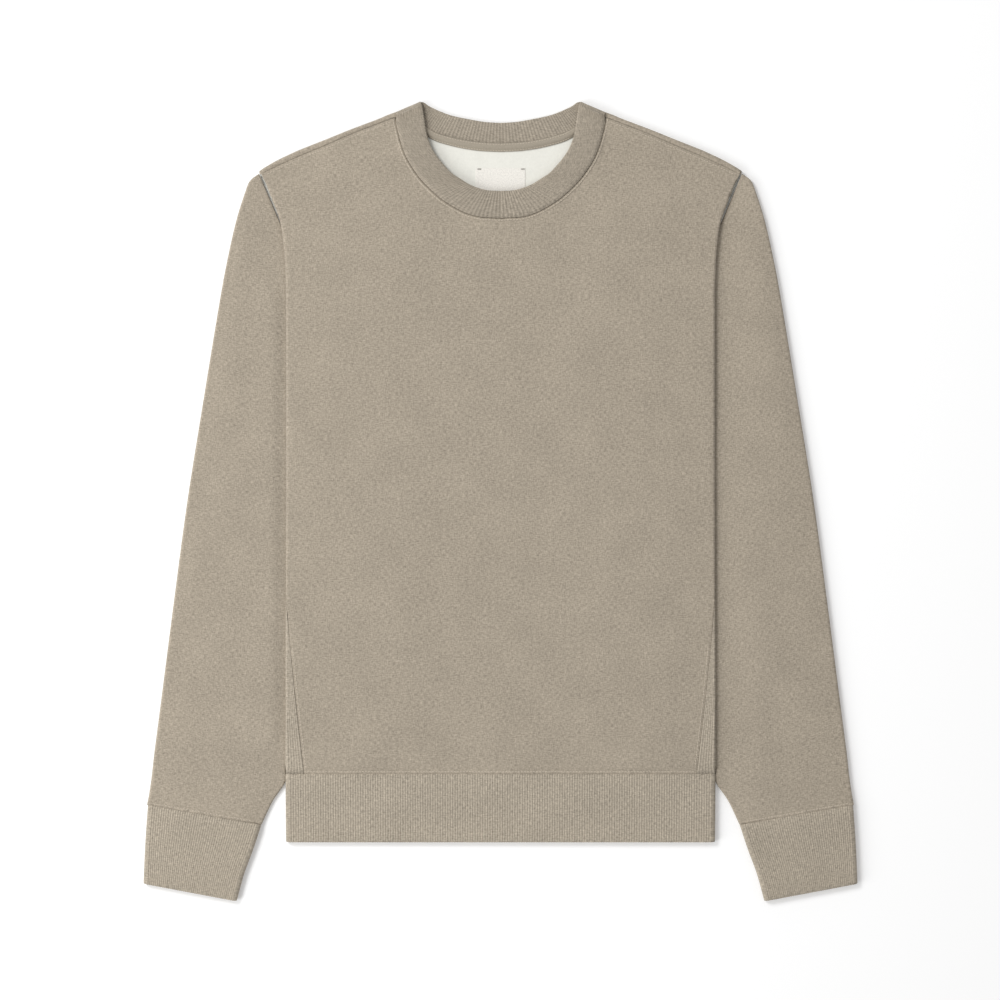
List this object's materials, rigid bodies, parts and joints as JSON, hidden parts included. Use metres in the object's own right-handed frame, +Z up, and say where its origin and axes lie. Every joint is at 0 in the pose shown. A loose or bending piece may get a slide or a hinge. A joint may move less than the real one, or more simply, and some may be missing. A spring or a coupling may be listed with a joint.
{
  "type": "crewneck sweatshirt",
  "caption": "Long-sleeved crewneck sweatshirt laid flat, with ribbed neckband, cuffs, side panels and hem band.",
  "frame": {"origin": "middle of the garment's length and width, on the surface that it lies on", "axes": "+X across the chest to the viewer's right, +Y from the hem to the neck, +Z up from the surface"},
  "size_m": [0.6784, 0.7592, 0.0083],
  "materials": {
    "fleece": "brushed marl jersey",
    "rib": "ribbed marl knit",
    "tape": "woven tape",
    "label": "satin weave, blank"
  },
  "bodies": {
    "root": {"front_panel": "fleece", "back_panel": "fleece", "side_panel_left": "rib", "side_panel_right": "rib", "sleeve_left": "fleece", "sleeve_right": "fleece", "cuff_left": "rib", "cuff_right": "rib", "hem_band": "rib", "neckband": "rib", "neck_tape": "tape", "label": "label"}
  },
  "joints": []
}
